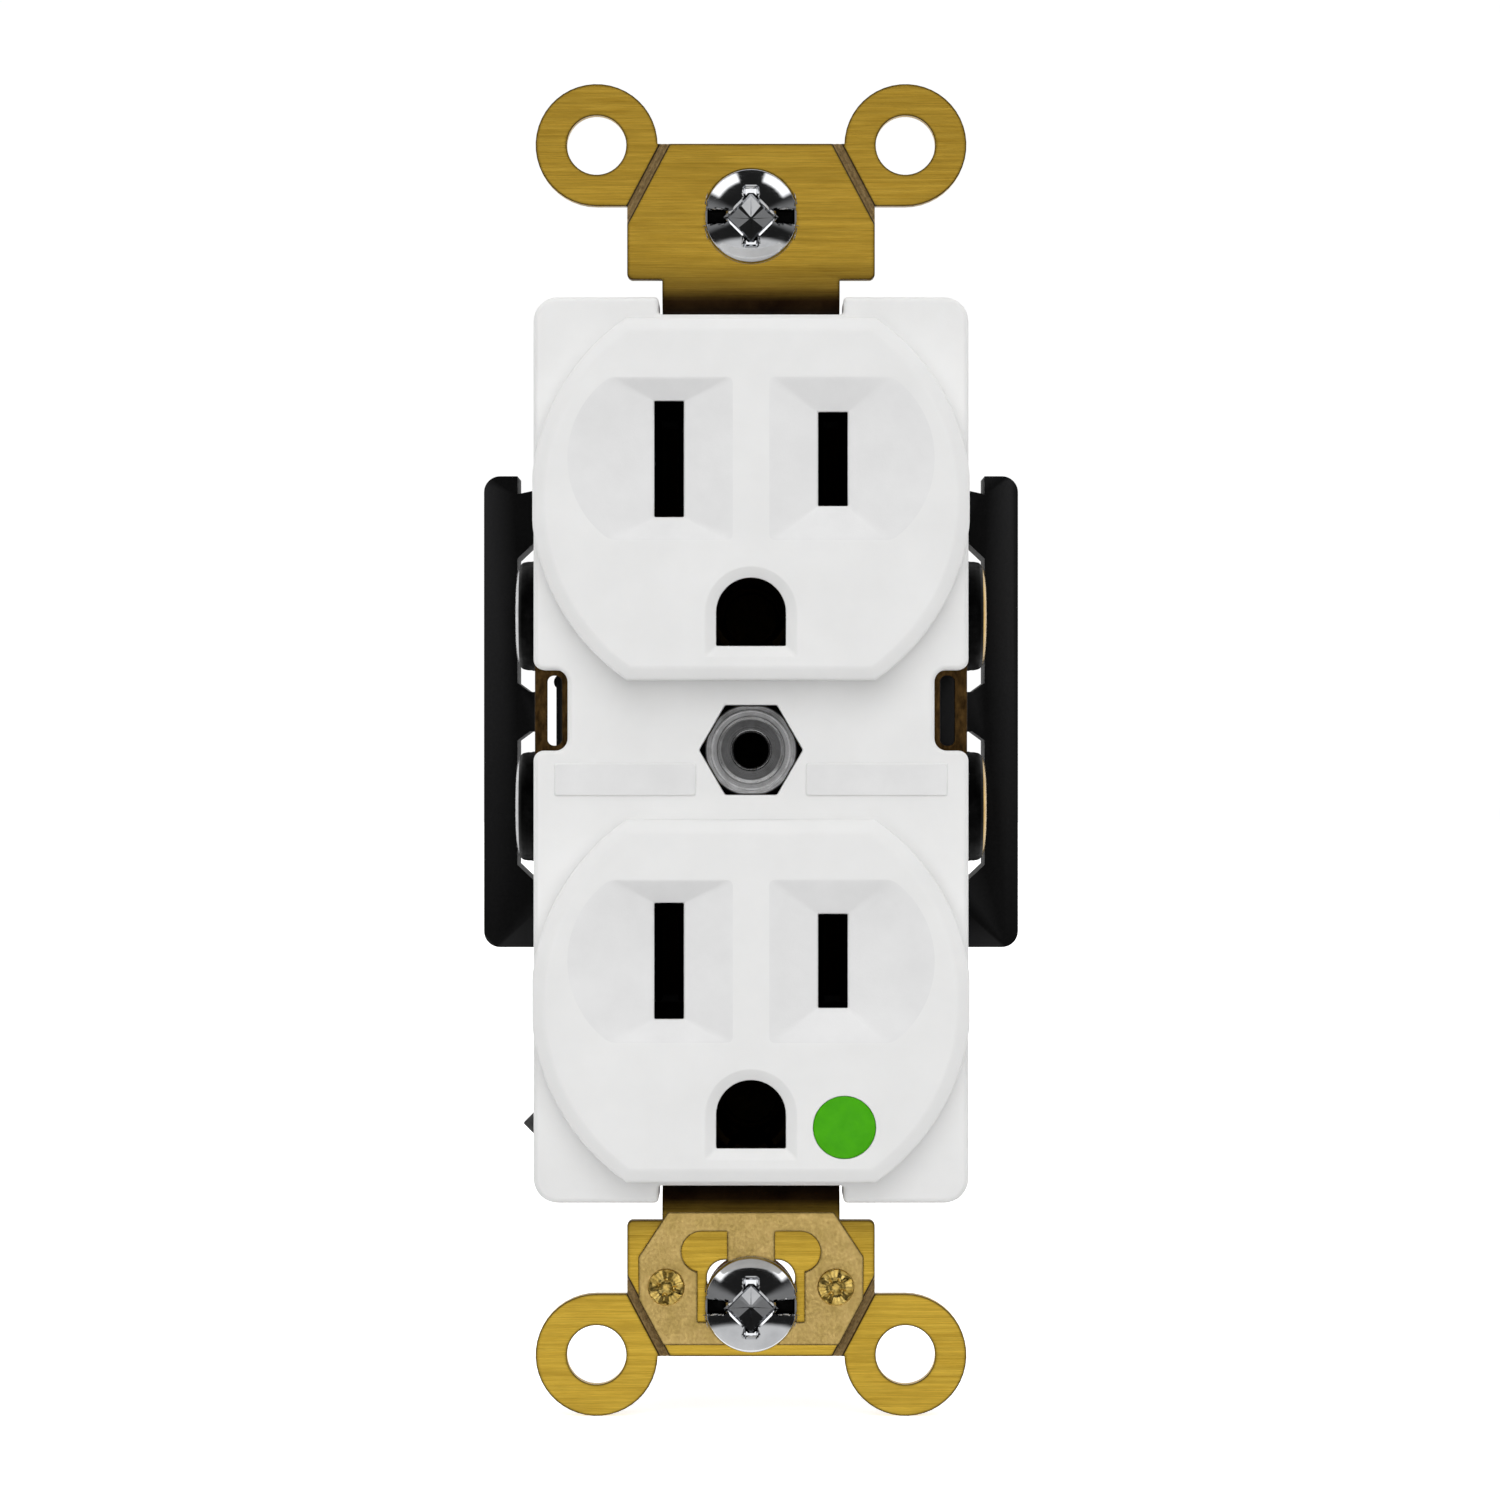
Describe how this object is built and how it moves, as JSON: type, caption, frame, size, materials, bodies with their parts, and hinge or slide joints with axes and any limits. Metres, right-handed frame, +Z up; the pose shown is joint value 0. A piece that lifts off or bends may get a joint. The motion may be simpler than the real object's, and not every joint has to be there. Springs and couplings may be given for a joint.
{
  "type": "duplex wall outlet",
  "caption": "Grounded duplex receptacle with raised sockets, wrap-around strap with break-off ears, side screw terminals, rear wire guides and captive box screws.",
  "frame": {"origin": "on the wall-plate screw axis, in the plane of the strap's rear face, which rests on the wall box", "axes": "+X to the right as seen from the room, -Y out of the wall towards the room, +Z up along the strap, with each ground opening below its blade slots"},
  "size_m": [0.0432, 0.0343, 0.1044],
  "materials": {
    "white_nylon": "fine satin nylon",
    "green_mark": "satin green inlay",
    "black_nylon": "fine textured nylon",
    "brass_strap": "brushed across, light scratches",
    "spring_brass": "matte spring temper brass",
    "rivet_brass": "staked and crushed",
    "post_steel": "turned, zinc plated",
    "contact_brass": "stamped, lightly tarnished",
    "dark_steel": "black oxide",
    "nickel_steel": "nickel plated",
    "brass_plate": "brass plated",
    "zinc_steel": "zinc plated stamping",
    "green_steel": "green dyed finish",
    "bright_zinc": "bright plated",
    "fibre": "pressed fibre"
  },
  "bodies": {
    "outlet": {"face_cover": "white_nylon", "hospital_grade_dot": "green_mark", "back_body": "black_nylon", "mounting_strap": "brass_strap", "self_ground_clip": "spring_brass", "clip_rivets": "rivet_brass", "plate_screw_post": "post_steel", "neutral_contacts": "contact_brass", "line_contacts": "contact_brass", "upper_ground_contact": "contact_brass", "lower_ground_contact": "contact_brass", "ground_contact_rivets": "rivet_brass", "body_screws": "dark_steel"},
    "neutral_screw_upper": {"neutral_screw_upper": "nickel_steel"},
    "neutral_clamp_upper": {"neutral_clamp_upper": "zinc_steel"},
    "neutral_screw_lower": {"neutral_screw_lower": "nickel_steel"},
    "neutral_clamp_lower": {"neutral_clamp_lower": "zinc_steel"},
    "line_screw_upper": {"line_screw_upper": "brass_plate"},
    "line_clamp_upper": {"line_clamp_upper": "zinc_steel"},
    "line_screw_lower": {"line_screw_lower": "brass_plate"},
    "line_clamp_lower": {"line_clamp_lower": "zinc_steel"},
    "ground_screw": {"ground_screw": "green_steel"},
    "ground_clamp": {"ground_clamp_plate": "zinc_steel"},
    "top_washer": {"top_screw_washer": "fibre"},
    "top_box_screw": {"top_mounting_screw": "bright_zinc"},
    "bottom_washer": {"bottom_screw_washer": "fibre"},
    "bottom_box_screw": {"bottom_mounting_screw": "bright_zinc"}
  },
  "joints": [
    {"name": "neutral_screw_upper_turn", "type": "hinge", "parent": "outlet", "child": "neutral_screw_upper", "pos_m": [-0.0155, 0.0085, 0.0107], "axis": [-1, 0, 0], "range_deg": [0, 1080]},
    {"name": "neutral_clamp_upper_slide", "type": "slide", "parent": "outlet", "child": "neutral_clamp_upper", "axis": [1, 0, 0], "range_m": [0, 0.00238]},
    {"name": "neutral_screw_lower_turn", "type": "hinge", "parent": "outlet", "child": "neutral_screw_lower", "pos_m": [-0.0155, 0.0085, -0.0045], "axis": [-1, 0, 0], "range_deg": [0, 1080]},
    {"name": "neutral_clamp_lower_slide", "type": "slide", "parent": "outlet", "child": "neutral_clamp_lower", "axis": [1, 0, 0], "range_m": [0, 0.00238]},
    {"name": "line_screw_upper_turn", "type": "hinge", "parent": "outlet", "child": "line_screw_upper", "pos_m": [0.0155, 0.0085, 0.0107], "axis": [1, 0, 0], "range_deg": [0, 1080]},
    {"name": "line_clamp_upper_slide", "type": "slide", "parent": "outlet", "child": "line_clamp_upper", "axis": [-1, 0, 0], "range_m": [0, 0.00238]},
    {"name": "line_screw_lower_turn", "type": "hinge", "parent": "outlet", "child": "line_screw_lower", "pos_m": [0.0155, 0.0085, -0.0045], "axis": [1, 0, 0], "range_deg": [0, 1080]},
    {"name": "line_clamp_lower_slide", "type": "slide", "parent": "outlet", "child": "line_clamp_lower", "axis": [-1, 0, 0], "range_m": [0, 0.00238]},
    {"name": "ground_screw_turn", "type": "hinge", "parent": "outlet", "child": "ground_screw", "pos_m": [-0.0141, 0.0235, -0.0306], "axis": [0, 1, 0], "range_deg": [0, 1080]},
    {"name": "ground_clamp_slide", "type": "slide", "parent": "outlet", "child": "ground_clamp", "axis": [0, -1, 0], "range_m": [0, 0.00238]},
    {"name": "top_screw_push", "type": "slide", "parent": "outlet", "child": "top_washer", "axis": [0, -1, 0], "range_m": [0, 0.004]},
    {"name": "top_screw_turn", "type": "hinge", "parent": "top_washer", "child": "top_box_screw", "pos_m": [0, 0.0048, 0.0417], "axis": [0, -1, 0], "continuous": true},
    {"name": "bottom_screw_push", "type": "slide", "parent": "outlet", "child": "bottom_washer", "axis": [0, -1, 0], "range_m": [0, 0.004]},
    {"name": "bottom_screw_turn", "type": "hinge", "parent": "bottom_washer", "child": "bottom_box_screw", "pos_m": [0, 0.0048, -0.0435], "axis": [0, -1, 0], "continuous": true}
  ],
  "couplings": [
    {"joint": "neutral_screw_upper_turn", "follows": "neutral_clamp_upper_slide", "rad_per_m": 7915.8},
    {"joint": "neutral_screw_lower_turn", "follows": "neutral_clamp_lower_slide", "rad_per_m": 7915.8},
    {"joint": "line_screw_upper_turn", "follows": "line_clamp_upper_slide", "rad_per_m": 7915.8},
    {"joint": "line_screw_lower_turn", "follows": "line_clamp_lower_slide", "rad_per_m": 7915.8},
    {"joint": "ground_screw_turn", "follows": "ground_clamp_slide", "rad_per_m": 7915.8}
  ]
}
